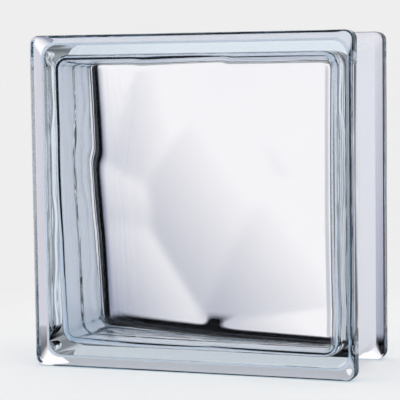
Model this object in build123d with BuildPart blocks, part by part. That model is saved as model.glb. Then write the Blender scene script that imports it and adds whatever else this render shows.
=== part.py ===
"""Hollow glass block: two pressed glass halves fused at mid depth, with a coated mortar channel all round."""

import os
from math import cos, exp, hypot, log, radians, sin, tan

from build123d import *

# Overall size of the block as it stands in a wall, in millimetres
width = 190.0
height = 190.0
depth = 80.0

# Outer outline of the faces
corner_radius = 5.0
edge_radius = 2.2

# Flange at each face and the mortar channel between the flanges
rim_depth = 9.5
rim_back_radius = 1.5
slope_depth = 3.5
channel_depth = 5.5
channel_corner_radius = 8.0

# Pressed glass
wall_thickness = 6.0
face_thickness = 7.2
draft_angle = 1.5
cavity_corner_radius = 8.0
cavity_fillet = 6.5
cavity_sink = 1.0

# Bead that the fusing leaves on the inside of the seam
bead_height = 0.9
bead_width = 1.4
bead_root = 1.0

# Relief pressed into the inside of each face: shallow troughs that meet in soft ridges
ridge_softness = 0.25
relief_step = 6.0
front_troughs = [
    # middle of the trough across and up the face, its direction in degrees, its rise,
    # its radius across and its radius along
    (40.0, 106.0, 60.0, 0.1, 640.0, 680.0),
    (84.0, 2.0, -15.0, 1.15, 150.0, 700.0),
    (-34.0, 54.0, -61.0, 2.45, 200.0, 700.0),
    (-60.0, 108.0, -32.0, 2.3, 200.0, 700.0),
    (-16.0, 160.0, 60.0, 0.0, 105.0, 500.0),
    (-56.0, 164.0, -50.0, 1.0, 380.0, 900.0),
]
back_troughs = [
    (40.0, 100.0, 0.0, 0.0, 1000.0, 900.0),
    (-60.0, 146.0, 0.0, 0.6, 600.0, 600.0),
    (-48.0, 48.0, 0.0, 0.0, 650.0, 650.0),
]

# Pale coat on the mortar channel
coating_thickness = 0.4
coating_margin = 4.3

# Values that follow from the sizes above
half_depth = depth / 2
core_width = width - 2 * channel_depth
core_height = height - 2 * channel_depth
cavity_width = core_width - 2 * wall_thickness
cavity_height = core_height - 2 * wall_thickness
cavity_start = face_thickness - cavity_sink
mouth_widening = 2 * (half_depth - cavity_start) * tan(radians(draft_angle))


def cross_plane(distance):
    """Plane parallel to the faces, at a distance behind the front face, centred on the block."""
    return Plane(origin=(0, distance - half_depth, height / 2), x_dir=(1, 0, 0), z_dir=(0, 1, 0))


def relief(troughs, x, z):
    """Height of a pressed relief over its lowest point, at a place on the face."""
    rises = []
    for middle_x, middle_z, direction, rise, radius_across, radius_along in troughs:
        turn = radians(direction)
        along = (x - middle_x) * cos(turn) + (z - middle_z) * sin(turn)
        across = (z - middle_z) * cos(turn) - (x - middle_x) * sin(turn)
        rises.append(across**2 / (2 * radius_across) + along**2 / (2 * radius_along) + rise)
    lowest = min(rises)
    return lowest - ridge_softness * log(sum(exp((lowest - r) / ridge_softness) for r in rises))


def space_behind(troughs):
    """Space behind the wavy inner surface of a face, lofted through profiles that follow its relief."""
    relief_columns = round(width / relief_step)
    relief_rows = round(height / relief_step)
    heights = [height * row / relief_rows for row in range(relief_rows + 1)]
    with BuildPart() as relief_space:
        for column in range(relief_columns + 1):
            x = width * (column / relief_columns - 0.5)
            with BuildSketch(Plane.YZ.offset(x)):
                with BuildLine():
                    wave = Spline([(face_thickness - half_depth + relief(troughs, x, z), z) for z in heights])
                    Polyline(wave @ 1, (half_depth, height), (half_depth, 0), wave @ 0)
                make_face()
        loft()
    return relief_space.part


# Outer shape of one half: flange, slope down to the channel and plain core
with BuildPart() as envelope:
    with BuildSketch(cross_plane(0)):
        RectangleRounded(width, height, corner_radius)
    extrude(amount=rim_depth)
    with BuildSketch(cross_plane(rim_depth)):
        RectangleRounded(width, height, corner_radius)
    with BuildSketch(cross_plane(rim_depth + slope_depth)):
        RectangleRounded(core_width, core_height, channel_corner_radius)
    loft()
    rim_edges = envelope.edges().filter_by_position(Axis.Y, rim_depth - half_depth, rim_depth - half_depth)
    fillet(rim_edges, radius=rim_back_radius)
    with BuildSketch(cross_plane(rim_depth + slope_depth)):
        RectangleRounded(core_width, core_height, channel_corner_radius)
    extrude(amount=half_depth - rim_depth - slope_depth)
    fillet(envelope.faces().sort_by(Axis.Y)[0].edges(), radius=edge_radius)


def pressed_half(troughs):
    """One half of the block, facing the front: the outer shape with its hollow, and the bead at the seam."""
    relief_space = space_behind(troughs)
    with BuildPart() as cavity:
        with BuildSketch(cross_plane(cavity_start)):
            RectangleRounded(cavity_width, cavity_height, cavity_corner_radius)
        extrude(amount=half_depth - cavity_start, taper=-draft_angle)
        fillet(cavity.faces().sort_by(Axis.Y)[0].edges(), radius=cavity_fillet)
        add(relief_space, mode=Mode.INTERSECT)

    with BuildPart() as half:
        add(envelope.part)
        add(cavity.part, mode=Mode.SUBTRACT)
        with BuildSketch(cross_plane(half_depth - bead_width)):
            mouth_width = cavity_width + mouth_widening
            mouth_height = cavity_height + mouth_widening
            RectangleRounded(mouth_width + 2 * bead_root, mouth_height + 2 * bead_root, cavity_corner_radius)
            RectangleRounded(
                mouth_width - 2 * bead_height,
                mouth_height - 2 * bead_height,
                cavity_corner_radius,
                mode=Mode.SUBTRACT,
            )
        extrude(amount=bead_width)
    return half.part


with BuildPart() as front_half:
    add(pressed_half(front_troughs))
front_half.part.label = "front_half"

with BuildPart() as back_half:
    add(pressed_half(back_troughs), rotation=(0, 0, 180))
back_half.part.label = "back_half"

# The coat follows the channel floor and turns up the foot of both slopes
slope_length = hypot(slope_depth, channel_depth)
slope_lift = coating_thickness * slope_length / channel_depth
coat_start = rim_depth + coating_margin * slope_depth / channel_depth + slope_lift
coat_floor = rim_depth + slope_depth + slope_lift - coating_thickness * slope_depth / channel_depth
with BuildPart() as edge_coating:
    with BuildSketch(cross_plane(coat_start)):
        RectangleRounded(width - 2 * coating_margin, height - 2 * coating_margin, channel_corner_radius)
    with BuildSketch(cross_plane(coat_floor)):
        RectangleRounded(
            core_width + 2 * coating_thickness, core_height + 2 * coating_thickness, channel_corner_radius
        )
    loft()
    with BuildSketch(cross_plane(coat_floor)):
        RectangleRounded(
            core_width + 2 * coating_thickness, core_height + 2 * coating_thickness, channel_corner_radius
        )
    extrude(amount=half_depth - coat_floor)
    add(envelope.part, mode=Mode.SUBTRACT)
    mirror(about=Plane.XZ)
edge_coating.part.label = "edge_coating"

os.makedirs("parts", exist_ok=True)
for piece in (front_half, back_half, edge_coating):
    export_step(piece.part, f"parts/{piece.part.label}.step")
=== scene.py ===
"""Looks of the glass block: two clear pressed halves, the pale coat on their channel and a plain studio."""

from math import cos, hypot, pi, radians, sin, tan

import bpy
import numpy as np
from mathutils import Matrix, Vector


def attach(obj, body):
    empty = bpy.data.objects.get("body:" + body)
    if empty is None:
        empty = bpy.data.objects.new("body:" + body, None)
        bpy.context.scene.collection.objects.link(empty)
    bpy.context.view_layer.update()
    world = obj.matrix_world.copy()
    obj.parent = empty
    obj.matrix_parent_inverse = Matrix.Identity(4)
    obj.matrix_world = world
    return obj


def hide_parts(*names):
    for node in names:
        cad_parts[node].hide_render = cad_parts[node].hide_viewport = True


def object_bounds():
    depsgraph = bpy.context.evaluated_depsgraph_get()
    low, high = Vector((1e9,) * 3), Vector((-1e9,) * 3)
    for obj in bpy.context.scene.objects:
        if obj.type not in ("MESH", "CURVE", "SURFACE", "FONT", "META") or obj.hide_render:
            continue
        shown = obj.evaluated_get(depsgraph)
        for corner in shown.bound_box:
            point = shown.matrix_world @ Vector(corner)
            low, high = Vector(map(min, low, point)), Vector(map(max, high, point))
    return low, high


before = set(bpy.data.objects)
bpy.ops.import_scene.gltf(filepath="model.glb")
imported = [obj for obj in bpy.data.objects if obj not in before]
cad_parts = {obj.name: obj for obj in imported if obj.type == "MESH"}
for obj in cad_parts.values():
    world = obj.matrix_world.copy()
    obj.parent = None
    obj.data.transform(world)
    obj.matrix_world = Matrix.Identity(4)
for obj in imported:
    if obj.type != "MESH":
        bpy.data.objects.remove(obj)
cad_low, cad_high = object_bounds()

# Sizes of the block in metres, as its construction has them
MM = 0.001
WIDTH, DEPTH, HEIGHT = cad_high - cad_low
HALF_DEPTH = DEPTH / 2
CORNER_RADIUS = 5.0 * MM
EDGE_RADIUS = 2.2 * MM
RIM_DEPTH = 9.5 * MM
RIM_BACK_RADIUS = 1.5 * MM
SLOPE_DEPTH = 3.5 * MM
CHANNEL_START = RIM_DEPTH + SLOPE_DEPTH
CHANNEL_DEPTH = 5.5 * MM
CHANNEL_CORNER_RADIUS = 8.0 * MM
WALL_THICKNESS = 6.0 * MM
FACE_THICKNESS = 7.2 * MM
DRAFT = tan(radians(1.5))
CAVITY_X = WIDTH / 2 - CHANNEL_DEPTH - WALL_THICKNESS
CAVITY_Z = HEIGHT / 2 - CHANNEL_DEPTH - WALL_THICKNESS
CAVITY_CORNER_RADIUS = 8.0 * MM
CAVITY_FILLET = 6.5 * MM
CAVITY_SINK = 1.0 * MM
CAVITY_START = FACE_THICKNESS - CAVITY_SINK
BEAD_HEIGHT = 0.9 * MM
BEAD_WIDTH = 1.4 * MM

# Relief inside each face: shallow troughs that meet in soft ridges
RIDGE_SOFTNESS = 0.25 * MM
FRONT_TROUGHS = [
    # middle of the trough across and up the face in mm, its direction in degrees, its rise,
    # its radius across and its radius along in mm
    (40.0, 106.0, 60.0, 0.1, 640.0, 680.0),
    (84.0, 2.0, -15.0, 1.15, 150.0, 700.0),
    (-34.0, 54.0, -61.0, 2.45, 200.0, 700.0),
    (-60.0, 108.0, -32.0, 2.3, 200.0, 700.0),
    (-16.0, 160.0, 60.0, 0.0, 105.0, 500.0),
    (-56.0, 164.0, -50.0, 1.0, 380.0, 900.0),
]
BACK_TROUGHS = [
    (40.0, 100.0, 0.0, 0.0, 1000.0, 900.0),
    (-60.0, 146.0, 0.0, 0.6, 600.0, 600.0),
    (-48.0, 48.0, 0.0, 0.0, 650.0, 650.0),
]

# Two waves of the ripple on the side walls: height in mm and mm per radian, then the waves along the wall
# that bend each of them: reach, mm per radian and start
FINE_RIPPLE = (0.11, 1.9, ((1.3, 13.0, 0.0), (0.7, 5.1, 2.0)))
COARSE_RIPPLE = (0.09, 4.3, ((-1.1, 21.0, 1.0),))
# The ripple fades in over one part in this many of the wall, at its foot and at its mouth
RIPPLE_FADE = 6.0

# Pale coat on the channel, the bend at the foot of its slope and the gap between it and the glass
COAT_THICKNESS = 0.4 * MM
COAT_MARGIN = 4.3 * MM
COAT_BEND = 0.3 * MM
COAT_BEND_RISE = 0.25 * MM
COAT_FLAT_START = 1.2 * MM
COAT_GAP = 0.05 * MM

# Overlap that joins the fused halves without a film of air
CONTACT = 0.03 * MM

# Fineness of the meshes: steps along half a side, round half a corner, round an outer edge, round the
# hollow's fillet and down its walls
SIDE_STEPS = 70
CORNER_STEPS = 8
ARC_STEPS = 8
FILLET_STEPS = 12
WALL_STEPS = 26
# Square at each corner of a ring that holds its rounding, and the smallest rounding
CORNER_ZONE = 10.0 * MM
SMALLEST_RADIUS = 0.05 * MM
# Edges that turn by more than this stay sharp
SHARP_ANGLE = radians(40)

# Extra rings beside the roundings, so that the smooth shading leaves the flat faces flat: their distances
# on the face, the rim and the channel, and their shares of the slope and of its far end
FACE_RINGS = (3.0 * MM, 0.4 * MM)
RIM_RING = 0.5 * MM
SLOPE_RINGS = (0.5, 0.93)
SLOPE_END_INSET = 0.99
SLOPE_END_SETBACK = 0.02
CHANNEL_RINGS = (0.25 * MM, 1.0 * MM)
# How far inside the fillet the last ring of the hollow lies, and the grid over its wavy floor
FLOOR_RING = 1.5 * MM
FLOOR_GRID = 3.0 * MM

# Glass: clear, with a faint blue-green body and a fine uneven skin
GLASS_COLOUR = (1.0, 1.0, 1.0, 1.0)
GLASS_IOR = 1.52
BODY_COLOUR = (0.28, 0.60, 0.76, 1.0)
BODY_DENSITY = 5.0
SKIN_SCALE = 90.0
SKIN_DETAIL = 2.0
SKIN_STRENGTH = 0.5
SKIN_HEIGHT = 0.03 * MM

# Coat: two pale tints in strokes along the channel, and the share of light that comes through
STROKE_TINTS = ((0.87, 0.89, 0.96, 1.0), (0.97, 0.97, 0.99, 1.0))
STROKE_SCALE = 420.0
STROKE_DETAIL = 3.0
COAT_ROUGHNESS = 0.5
COAT_SPECULAR = 0.2
COAT_SHARE_THROUGH = 0.25

# Floor: a disc that fades into the background between two distances from the block
FLOOR_RADIUS = 1.0
FLOOR_SIDES = 96
FLOOR_DROP = 0.2 * MM
FLOOR_COLOUR = (0.90, 0.90, 0.90, 1.0)
FLOOR_FADE = (0.14, 0.40, 0.0, 1.0)

# Painted contact shadow: a black sheet, seen only through the glass, that reaches past the block and fades at
# its borders
PAINTED_SHADOW_REACH_X = 25.0 * MM
PAINTED_SHADOW_REACH_Y = 80.0 * MM
PAINTED_SHADOW_FADE_X = 30.0 * MM
PAINTED_SHADOW_FADE_Y = 35.0 * MM
PAINTED_SHADOW_DROP = 0.1 * MM
PAINTED_SHADOW_COLOUR = (0.002, 0.002, 0.003, 1.0)
MATT_ROUGHNESS = 0.9

# Studio, by the X, Y and Z of the direction in which a ray leaves the block. A step gives its lower and
# upper limit and the light at each.
SLANT_X, SLANT_Z = 0.80, 0.60
BACKDROP_STEP = (-0.53, -0.275, 0.0, 1.0)
BACKDROP_SIDES = (0.45, 0.74, 0.0, 1.0)
FAR_CARD_X = (-0.70, -0.58, 1.0, 0.0)
FAR_CARD_Y = (-0.10, 0.10, 0.0, 1.0)
FAR_CARD_Z = (-0.45, -0.35, 0.0, 1.0)
SHADE_START = (-0.20, -0.14, 0.0, 0.56)
SHADE_END = (-0.20, 0.30, 1.0, 0.0)
SHADE_LEAN = 0.6
SIDE_CARDS = (0.38, 0.66, 0.05, 1.0)
SIDE_CARDS_LEAN = 0.35
FRONT_CARD = (-0.35, 0.35, 0.02, 1.0)
RIGHT_CARD = (-0.25, 0.05, 1.0, 0.40)
LOW_CARD = (-0.50, -0.25, 0.30, 1.0)
HIGH_CARD = (0.02, 0.22, 1.0, 0.72)
BACKDROP_DIM = (0.36, 0.38, 0.50, 1.0)
BACKDROP_BRIGHT = (1.14, 1.10, 1.12, 1.0)
# How much darker than white the camera sees the background
CAMERA_GREY = 0.145
# A ray counts as turned by reflection past this depth, its passes through glass left out
TURNED_DEPTH = 1.5
# A ray counts as cast by a matt surface past this diffuse depth
MATT_DEPTH = 0.5

# Camera, as it stood for the photograph
CAMERA_AZIMUTH = radians(19.66)
CAMERA_ELEVATION = radians(4.59)
CAMERA_ROLL = radians(-0.75)
CAMERA_PLACE = (0.3101, -0.8867, 0.1698)
CAMERA_LENS = 146.66


def corner_reach(angle, radius):
    """Distance from the inner point of a corner zone to its rounded outline, along an angle."""
    inner = CORNER_ZONE - radius
    dx, dz = cos(angle), sin(angle)
    if min(dx, dz) / max(dx, dz) <= inner / CORNER_ZONE:
        return CORNER_ZONE / max(dx, dz)
    centre = inner * (dx + dz)
    return centre + (centre**2 - 2 * inner**2 + radius**2) ** 0.5


def outline(half_x, half_z, radius):
    """Points and outward normals round a rounded rectangle, anticlockwise from the middle of the +X side."""
    radius = max(radius, SMALLEST_RADIUS)
    quarter = []
    for step in range(SIDE_STEPS):
        quarter.append((half_x, step / SIDE_STEPS * (half_z - CORNER_ZONE)))
    for step in range(2 * CORNER_STEPS):
        angle = step / (2 * CORNER_STEPS) * pi / 2
        reach = corner_reach(angle, radius)
        quarter.append((half_x - CORNER_ZONE + reach * cos(angle), half_z - CORNER_ZONE + reach * sin(angle)))
    for step in range(SIDE_STEPS):
        quarter.append(((1 - step / SIDE_STEPS) * (half_x - CORNER_ZONE), half_z))
    quarter = np.array(quarter)
    # The next quarter runs down the -X side: mirrored left to right and taken backwards
    mirrored = np.vstack([[0.0, half_z], quarter[:0:-1] * (-1, 1)])
    upper = np.vstack([quarter, mirrored])
    lower = np.vstack([[-half_x, 0.0], upper[:0:-1] * (1, -1)])
    points = np.vstack([upper, lower])
    ahead = np.roll(points, -1, axis=0) - np.roll(points, 1, axis=0)
    normals = np.stack([ahead[:, 1], -ahead[:, 0]], axis=1)
    return points, normals / np.linalg.norm(normals, axis=1)[:, None]


def relief(troughs, x, z):
    """Height of a pressed relief over its lowest point, for arrays of places on the face."""
    rises = []
    for middle_x, middle_z, direction, rise, radius_across, radius_along in troughs:
        turn = radians(direction)
        from_x = x / MM - middle_x
        from_z = z / MM - middle_z
        along = from_x * cos(turn) + from_z * sin(turn)
        across = from_z * cos(turn) - from_x * sin(turn)
        rises.append((across**2 / (2 * radius_across) + along**2 / (2 * radius_along) + rise) * MM)
    rises = np.array(rises)
    lowest = rises.min(axis=0)
    return lowest - RIDGE_SOFTNESS * np.log(np.exp((lowest - rises) / RIDGE_SOFTNESS).sum(axis=0))


class Shell:
    """Vertices and faces of one closed mesh made of rings of equal length."""

    def __init__(self):
        self.points = []
        self.faces = []

    def add_ring(self, points):
        """Indices of the points of a new ring."""
        start = len(self.points)
        self.points.extend(points)
        return list(range(start, len(self.points)))

    def bridge(self, first, second):
        """Band of faces between two rings."""
        count = len(first)
        for i in range(count):
            j = (i + 1) % count
            self.faces.append((first[i], first[j], second[j], second[i]))

    def mesh(self, name):
        """Mesh of the shell, ready for an object."""
        mesh = bpy.data.meshes.new(name)
        mesh.from_pydata(self.points, [], self.faces)
        mesh.validate()
        return mesh


def section_ring(inset, depth, radius):
    """One ring of the outside of the front half, at an inset from its outline and a depth behind the face."""
    points, _ = outline(WIDTH / 2 - inset, HEIGHT / 2 - inset, radius)
    return [(x, depth - HALF_DEPTH, z + HEIGHT / 2) for x, z in points]


def slope_radius(share):
    """Corner radius of the outside at a share of the way down the slope."""
    return CORNER_RADIUS + share * (CHANNEL_CORNER_RADIUS - CORNER_RADIUS)


def outer_section():
    """Inset, depth and corner radius of the outside of a half, from the face to the seam."""
    rows = []
    for distance in FACE_RINGS:
        inset = EDGE_RADIUS + distance
        rows.append((inset, 0.0, max(CORNER_RADIUS - inset, 0.0)))
    for step in range(ARC_STEPS + 1):
        angle = step / ARC_STEPS * pi / 2
        inset = EDGE_RADIUS * (1 - sin(angle))
        rows.append((inset, EDGE_RADIUS * (1 - cos(angle)), CORNER_RADIUS - inset))
    slope = np.arctan2(CHANNEL_DEPTH, SLOPE_DEPTH)
    setback = RIM_BACK_RADIUS * tan(slope / 2)
    rows.append((0.0, EDGE_RADIUS + RIM_RING, CORNER_RADIUS))
    rows.append((0.0, RIM_DEPTH - setback - RIM_RING, CORNER_RADIUS))
    for step in range(ARC_STEPS + 1):
        angle = step / ARC_STEPS * slope
        inset = RIM_BACK_RADIUS * (1 - cos(angle))
        rows.append((inset, RIM_DEPTH - setback + RIM_BACK_RADIUS * sin(angle), CORNER_RADIUS))
    for share in SLOPE_RINGS:
        rows.append((share * CHANNEL_DEPTH, RIM_DEPTH + share * SLOPE_DEPTH, slope_radius(share)))
    slope_end = CHANNEL_START - SLOPE_END_SETBACK * SLOPE_DEPTH
    rows.append((CHANNEL_DEPTH * SLOPE_END_INSET, slope_end, CHANNEL_CORNER_RADIUS))
    depths = [CHANNEL_START + distance for distance in CHANNEL_RINGS]
    depths += [HALF_DEPTH / 2 + CHANNEL_START / 2, HALF_DEPTH + CONTACT]
    for depth in depths:
        rows.append((CHANNEL_DEPTH, depth, CHANNEL_CORNER_RADIUS))
    return rows


def wall_ripple(x, z, depth):
    """Shallow ripple that the plunger leaves on the drafted side walls."""
    along = (x - z) / MM
    across = depth / MM
    ripple = 0.0
    for height, length, bends in (FINE_RIPPLE, COARSE_RIPPLE):
        phase = across / length
        for reach, bend_length, start in bends:
            phase = phase + reach * np.sin(along / bend_length + start)
        ripple = ripple + height * np.sin(phase)
    return ripple * MM


def floor_depth(troughs, x, z):
    """Depth of the wavy inner surface behind the face, at places measured from the middle of the block."""
    return FACE_THICKNESS + relief(troughs, x, z + HEIGHT / 2)


def hollow_rings(shell, troughs):
    """Rings of the hollow: down the rippled walls from the mouth, round the fillet and onto the floor."""

    def hollow_ring(inset, height, ripple):
        """Ring at an inset from the foot of the walls, at heights over the wavy floor."""
        radius = max(CAVITY_CORNER_RADIUS - inset, 0.0)
        points, normals = outline(CAVITY_X - inset, CAVITY_Z - inset, radius)
        depth = height(floor_depth(troughs, points[:, 0], points[:, 1]))
        bead = BEAD_HEIGHT * np.exp(-(((HALF_DEPTH - depth) / BEAD_WIDTH) ** 2))
        push = DRAFT * (depth - CAVITY_START) - bead - ripple * wall_ripple(points[:, 0], points[:, 1], depth)
        points = points + normals * push[:, None]
        return shell.add_ring([(x, y - HALF_DEPTH, z + HEIGHT / 2) for (x, z), y in zip(points, depth)])

    rings = []
    mouth = HALF_DEPTH + CONTACT
    for row in range(WALL_STEPS):
        share = row / WALL_STEPS
        ripple = min(1.0, share * RIPPLE_FADE, (1 - share) * RIPPLE_FADE)
        rings.append(hollow_ring(0.0, lambda floor: mouth - share * (mouth - floor - CAVITY_FILLET), ripple))
    for step in range(FILLET_STEPS + 1):
        angle = step / FILLET_STEPS * pi / 2
        inset = CAVITY_FILLET * (1 - cos(angle))
        rings.append(hollow_ring(inset, lambda floor: floor + CAVITY_FILLET * (1 - sin(angle)), 0.0))
    rings.append(hollow_ring(CAVITY_FILLET + FLOOR_RING, lambda floor: floor, 0.0))
    return rings


def grid_lines(reach):
    """Coordinates of the grid lines from -reach to reach that meet the points of a ring."""
    positive = [step / SIDE_STEPS * (reach - CORNER_ZONE) for step in range(SIDE_STEPS)]
    for step in range(CORNER_STEPS + 1):
        positive.append(reach - CORNER_ZONE + CORNER_ZONE * tan(step / CORNER_STEPS * pi / 4))
    return np.array([-value for value in positive[:0:-1]] + positive)


def add_wavy_floor(shell, troughs, last_ring):
    """Grid over the wavy floor inside the last ring. Its border has as many points as the ring."""
    inset = CAVITY_FILLET + FLOOR_GRID
    xs, zs = np.meshgrid(grid_lines(CAVITY_X - inset), grid_lines(CAVITY_Z - inset), indexing="ij")
    depths = floor_depth(troughs, xs, zs) - HALF_DEPTH
    size = len(xs)
    start = len(shell.points)
    for i in range(size):
        for j in range(size):
            shell.points.append((xs[i, j], depths[i, j], zs[i, j] + HEIGHT / 2))

    def index(i, j):
        return start + i * size + j

    for i in range(size - 1):
        for j in range(size - 1):
            shell.faces.append((index(i, j), index(i, j + 1), index(i + 1, j + 1), index(i + 1, j)))
    half = (size - 1) // 2
    last = size - 1
    border = [index(last, j) for j in range(half, last)]
    border += [index(i, last) for i in range(last, 0, -1)]
    border += [index(0, j) for j in range(last, 0, -1)]
    border += [index(i, 0) for i in range(0, last)]
    border += [index(last, j) for j in range(0, half)]
    shell.bridge(border, last_ring)


def half_mesh(name, troughs):
    """Closed glass mesh of one half, facing the front."""
    shell = Shell()
    rings = [shell.add_ring(section_ring(*row)) for row in outer_section()]
    shell.faces.append(tuple(rings[0]))
    rings += hollow_rings(shell, troughs)
    for first, second in zip(rings, rings[1:]):
        shell.bridge(second, first)
    add_wavy_floor(shell, troughs, rings[-1])
    return shell.mesh(name)


def coat_mesh(name):
    """Closed ring of coat that sits on the channel floor and turns up the foot of both slopes."""
    slope_length = hypot(SLOPE_DEPTH, CHANNEL_DEPTH)
    lift = COAT_THICKNESS * slope_length / CHANNEL_DEPTH
    start = RIM_DEPTH + COAT_MARGIN * SLOPE_DEPTH / CHANNEL_DEPTH
    floor_start = CHANNEL_START + lift - COAT_THICKNESS * SLOPE_DEPTH / CHANNEL_DEPTH
    core_inset = CHANNEL_DEPTH - COAT_THICKNESS

    # Inset and depth round the coat's section: its outer side from front to back, then the side on the glass
    front = [
        (COAT_MARGIN, start + lift),
        ((COAT_MARGIN + core_inset) / 2, (start + lift + floor_start) / 2),
        (core_inset - COAT_BEND, floor_start - COAT_BEND_RISE),
        (core_inset, floor_start + COAT_BEND),
        (core_inset, floor_start + COAT_FLAT_START),
    ]
    back = [(inset, DEPTH - depth) for inset, depth in reversed(front)]
    under = [
        (COAT_MARGIN, DEPTH - start - COAT_GAP),
        (CHANNEL_DEPTH - COAT_GAP, DEPTH - CHANNEL_START - COAT_GAP),
        (CHANNEL_DEPTH - COAT_GAP, CHANNEL_START + COAT_GAP),
        (COAT_MARGIN, start + COAT_GAP),
    ]
    shell = Shell()
    rings = []
    for inset, depth in front + [(core_inset, HALF_DEPTH)] + back + under:
        rings.append(shell.add_ring(section_ring(inset, depth, slope_radius(inset / CHANNEL_DEPTH))))
    for first, second in zip(rings, rings[1:] + rings[:1]):
        shell.bridge(second, first)
    return shell.mesh(name)


class Tree:
    """Node tree of a material or a world, with short ways to add nodes and join them."""

    def __init__(self, owner):
        owner.use_nodes = True
        self.nodes = owner.node_tree.nodes
        self.links = owner.node_tree.links

    def fill(self, node, inputs):
        """Gives a node's inputs, by name or place, a plain value each or a link from another node."""
        for name, value in inputs.items():
            if isinstance(value, bpy.types.NodeSocket):
                self.links.new(value, node.inputs[name])
            else:
                node.inputs[name].default_value = value

    def add(self, kind, inputs=None, **settings):
        """New node with its settings and inputs."""
        node = self.nodes.new(kind)
        for name, setting in settings.items():
            setattr(node, name, setting)
        self.fill(node, inputs or {})
        return node

    def math(self, operation, first, second=0.0):
        """Result of an operation on one or two values."""
        return self.add("ShaderNodeMath", {0: first, 1: second}, operation=operation).outputs["Value"]

    def product(self, first, *others):
        """All the values multiplied."""
        for other in others:
            first = self.math("MULTIPLY", first, other)
        return first

    def step(self, value, limits, kind="SMOOTHSTEP"):
        """Step of a value between two limits, smooth unless another kind is asked for."""
        low, high, to_low, to_high = limits
        inputs = {"Value": value, "From Min": low, "From Max": high, "To Min": to_low, "To Max": to_high}
        return self.add("ShaderNodeMapRange", inputs, interpolation_type=kind).outputs["Result"]

    def mix_colours(self, share, first, second):
        """Colour between two others."""
        inputs = {"Factor": share, "A": first, "B": second}
        return self.add("ShaderNodeMix", inputs, data_type="RGBA").outputs["Result"]

    def place(self):
        """Place on the object, as its three parts."""
        coordinates = self.add("ShaderNodeTexCoord")
        return self.add("ShaderNodeSeparateXYZ", {0: coordinates.outputs["Object"]})

    def mix_shaders(self, share, first, second, output):
        """Sends a mix of two shaders to the output's surface."""
        inputs = {"Fac": share, 1: first.outputs["BSDF"], 2: second.outputs["BSDF"]}
        mix = self.add("ShaderNodeMixShader", inputs)
        self.fill(output, {"Surface": mix.outputs["Shader"]})


def new_material(name):
    """Material, its tree, its Principled shader and its output."""
    material = bpy.data.materials.new(name)
    tree = Tree(material)
    return material, tree, tree.nodes["Principled BSDF"], tree.nodes["Material Output"]


def glass_material():
    """Clear pressed soda-lime glass with a faint blue-green body and a slightly uneven skin."""
    material, tree, shader, output = new_material("pressed_glass")
    coordinates = tree.add("ShaderNodeTexCoord")
    skin = tree.add(
        "ShaderNodeTexNoise",
        {"Vector": coordinates.outputs["Object"], "Scale": SKIN_SCALE, "Detail": SKIN_DETAIL},
    )
    bump = tree.add(
        "ShaderNodeBump",
        {"Height": skin.outputs["Fac"], "Strength": SKIN_STRENGTH, "Distance": SKIN_HEIGHT},
    )
    tree.fill(
        shader,
        {
            "Base Color": GLASS_COLOUR,
            "Transmission Weight": 1.0,
            "IOR": GLASS_IOR,
            "Roughness": 0.0,
            "Normal": bump.outputs["Normal"],
        },
    )
    body = tree.add("ShaderNodeVolumeAbsorption", {"Color": BODY_COLOUR, "Density": BODY_DENSITY})
    tree.fill(output, {"Volume": body.outputs["Volume"]})
    return material


def coat_material():
    """Pale lavender-white mortar coat, smooth, with faint strokes along the channel."""
    material, tree, shader, output = new_material("mortar_coat")
    strokes = tree.add(
        "ShaderNodeTexNoise",
        {"W": tree.place().outputs["Y"], "Scale": STROKE_SCALE, "Detail": STROKE_DETAIL},
        noise_dimensions="1D",
    )
    tint = tree.mix_colours(strokes.outputs["Fac"], *STROKE_TINTS)
    tree.fill(shader, {"Base Color": tint, "Roughness": COAT_ROUGHNESS, "Specular IOR Level": COAT_SPECULAR})
    through = tree.add("ShaderNodeBsdfTranslucent", {"Color": tint})
    tree.mix_shaders(COAT_SHARE_THROUGH, shader, through, output)
    return material


def make_piece(name, mesh, material, node):
    """Object that stands for a node of the construction."""
    piece = bpy.data.objects.new(name, mesh)
    bpy.context.scene.collection.objects.link(piece)
    mesh.materials.append(material)
    mesh.polygons.foreach_set("use_smooth", [True] * len(mesh.polygons))
    mesh.set_sharp_from_angle(angle=SHARP_ANGLE)
    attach(piece, "root")
    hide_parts(node)


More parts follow.
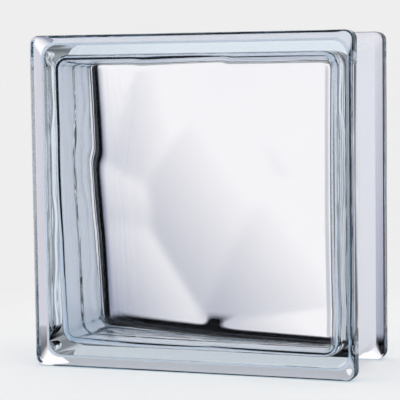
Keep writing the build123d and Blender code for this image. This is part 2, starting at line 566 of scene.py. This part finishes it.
def make_world():
    """Pale studio for the glass: a backdrop that greys to the lower left, and dark cards round it."""
    world = bpy.data.worlds.new("studio")
    bpy.context.scene.world = world
    tree = Tree(world)
    coordinates = tree.add("ShaderNodeTexCoord")
    x, y, z = tree.add("ShaderNodeSeparateXYZ", {0: coordinates.outputs["Generated"]}).outputs
    path = tree.add("ShaderNodeLightPath")
    reflections = tree.math("SUBTRACT", path.outputs["Ray Depth"], path.outputs["Transmission Depth"])
    turned = tree.math("GREATER_THAN", reflections, TURNED_DEPTH)
    straight = tree.math("SUBTRACT", 1.0, turned)
    along = tree.math("ABSOLUTE", y)

    # Light of the backdrop, growing to the upper right. For rays that went straight through, the part ahead
    # and to the right of the block is shaded, which greys the flange and shows the relief from the front.
    slant = tree.math("ADD", tree.product(x, SLANT_X), tree.product(z, SLANT_Z))
    lit = tree.step(slant, BACKDROP_STEP, "LINEAR")
    shade_reach = tree.step(tree.math("ADD", x, tree.product(z, SHADE_LEAN)), SHADE_END)
    shade = tree.product(tree.step(x, SHADE_START), shade_reach, straight)
    lit = tree.product(lit, tree.math("SUBTRACT", 1.0, shade))
    backdrop = tree.mix_colours(lit, BACKDROP_DIM, BACKDROP_BRIGHT)

    # Rays that went straight through see the backdrop between dark sides, with a dark card far to the left
    far_card = tree.product(tree.step(x, FAR_CARD_X), tree.step(z, FAR_CARD_Z), tree.step(y, FAR_CARD_Y))
    seen_straight = tree.product(tree.step(along, BACKDROP_SIDES), tree.math("SUBTRACT", 1.0, far_card))

    # Rays that the glass has turned by reflection see dark cards: on both sides, in front, below and above
    side_cards = tree.step(tree.math("ADD", along, tree.product(x, SIDE_CARDS_LEAN)), SIDE_CARDS)
    seen_turned = tree.product(
        side_cards,
        tree.step(y, FRONT_CARD),
        tree.step(x, RIGHT_CARD),
        tree.step(z, LOW_CARD),
        tree.step(z, HIGH_CARD),
    )
    strength = tree.add("ShaderNodeMix", {"Factor": turned, "A": seen_straight, "B": seen_turned})
    studio = tree.add(
        "ShaderNodeVectorMath",
        {0: backdrop, "Scale": strength.outputs["Result"]},
        operation="SCALE",
    )

    # The camera sees plain grey, matt surfaces get plain light, and only glass and gloss show the studio
    in_glass = tree.math("MAXIMUM", path.outputs["Is Glossy Ray"], path.outputs["Is Transmission Ray"])
    direct = tree.math("LESS_THAN", path.outputs["Diffuse Depth"], MATT_DEPTH)
    plain = tree.math("SUBTRACT", 1.0, tree.product(path.outputs["Is Camera Ray"], CAMERA_GREY))
    shown = tree.mix_colours(tree.product(in_glass, direct), plain, studio.outputs["Vector"])
    tree.fill(tree.nodes["Background"], {"Color": shown, "Strength": 1.0})


def stage_sheet(name, corners, drop):
    """Flat sheet for the stage, a little under the block's foot, and its matt material's tree and nodes."""
    mesh = bpy.data.meshes.new(name)
    mesh.from_pydata(corners, [], [tuple(range(len(corners)))])
    sheet = bpy.data.objects.new(name, mesh)
    sheet.location.z = -drop
    bpy.context.scene.collection.objects.link(sheet)
    material, tree, shader, output = new_material(name)
    mesh.materials.append(material)
    tree.fill(shader, {"Roughness": MATT_ROUGHNESS, "Specular IOR Level": 0.0})
    return sheet, tree, shader, output


def make_floor():
    """Pale floor disc that fades into the background. Rays through the glass don't see it."""
    angles = [2 * pi * side / FLOOR_SIDES for side in range(FLOOR_SIDES)]
    rim = [(FLOOR_RADIUS * cos(angle), FLOOR_RADIUS * sin(angle), 0.0) for angle in angles]
    floor, tree, shader, output = stage_sheet("floor", rim, FLOOR_DROP)
    floor.visible_transmission = False
    floor.visible_glossy = False
    floor.visible_diffuse = False
    coordinates = tree.add("ShaderNodeTexCoord")
    distance = tree.add("ShaderNodeVectorMath", {0: coordinates.outputs["Object"]}, operation="LENGTH")
    tree.fill(shader, {"Base Color": FLOOR_COLOUR})
    fade = tree.step(distance.outputs["Value"], FLOOR_FADE)
    tree.mix_shaders(fade, shader, tree.add("ShaderNodeBsdfTransparent"), output)


def make_painted_shadow_sheet():
    """Painted contact shadow: a black sheet under the block and round its foot. Only the glass shows it, as
    dark lines at the fillets.
    """
    half_x, half_y = WIDTH / 2 + PAINTED_SHADOW_REACH_X, HALF_DEPTH + PAINTED_SHADOW_REACH_Y
    corners = [(half_x, half_y, 0.0), (-half_x, half_y, 0.0), (-half_x, -half_y, 0.0), (half_x, -half_y, 0.0)]
    painted_shadow_sheet, tree, shader, output = stage_sheet("painted_shadow_sheet", corners, PAINTED_SHADOW_DROP)
    painted_shadow_sheet.visible_camera = False
    painted_shadow_sheet.visible_diffuse = False
    painted_shadow_sheet.visible_shadow = False
    # The black is painted shade: the block's contact shadow, which only the glass shows
    tree.fill(shader, {"Base Color": PAINTED_SHADOW_COLOUR})
    place = tree.place()
    at_side = tree.step(tree.math("ABSOLUTE", place.outputs["X"]), (half_x - PAINTED_SHADOW_FADE_X, half_x, 0.0, 1.0))
    at_end = tree.step(tree.math("ABSOLUTE", place.outputs["Y"]), (half_y - PAINTED_SHADOW_FADE_Y, half_y, 0.0, 1.0))
    path = tree.add("ShaderNodeLightPath")
    matt = tree.math("GREATER_THAN", path.outputs["Diffuse Depth"], MATT_DEPTH)
    fade = tree.math("MAXIMUM", tree.math("MAXIMUM", at_side, at_end), matt)
    tree.mix_shaders(fade, shader, tree.add("ShaderNodeBsdfTransparent"), output)


def make_camera():
    """Camera at the photograph's angle, on the quarter of the photograph that the block fills."""
    azimuth, elevation, roll = CAMERA_AZIMUTH, CAMERA_ELEVATION, CAMERA_ROLL
    forward = Vector((-sin(azimuth) * cos(elevation), cos(azimuth) * cos(elevation), -sin(elevation)))
    level = Vector((cos(azimuth), sin(azimuth), 0.0))
    upright = level.cross(forward)
    right = cos(roll) * level + sin(roll) * upright
    up = cos(roll) * upright - sin(roll) * level
    data = bpy.data.cameras.new("camera")
    data.lens = CAMERA_LENS
    camera = bpy.data.objects.new("camera", data)
    turn = Matrix((right, up, -forward)).transposed().to_4x4()
    camera.matrix_world = Matrix.Translation(CAMERA_PLACE) @ turn
    bpy.context.scene.collection.objects.link(camera)
    bpy.context.scene.camera = camera


glass = glass_material()
front_mesh = half_mesh("front_half_glass", FRONT_TROUGHS)
back_mesh = half_mesh("back_half_glass", BACK_TROUGHS)
back_mesh.transform(Matrix.Rotation(pi, 4, "Z"))
make_piece("front_half_glass", front_mesh, glass, "front_half")
make_piece("back_half_glass", back_mesh, glass, "back_half")
make_piece("edge_coating_film", coat_mesh("edge_coating_film"), coat_material(), "edge_coating")

make_world()
make_floor()
# Painted contact shadow round the block's foot, seen only through the glass
make_painted_shadow_sheet()
make_camera()

scene = bpy.context.scene
scene.view_settings.view_transform = "Standard"
scene.cycles.max_bounces = 40
scene.cycles.transmission_bounces = 40
scene.cycles.glossy_bounces = 20
scene.cycles.diffuse_bounces = 16
scene.cycles.blur_glossy = 0.0
scene.cycles.transparent_max_bounces = 16
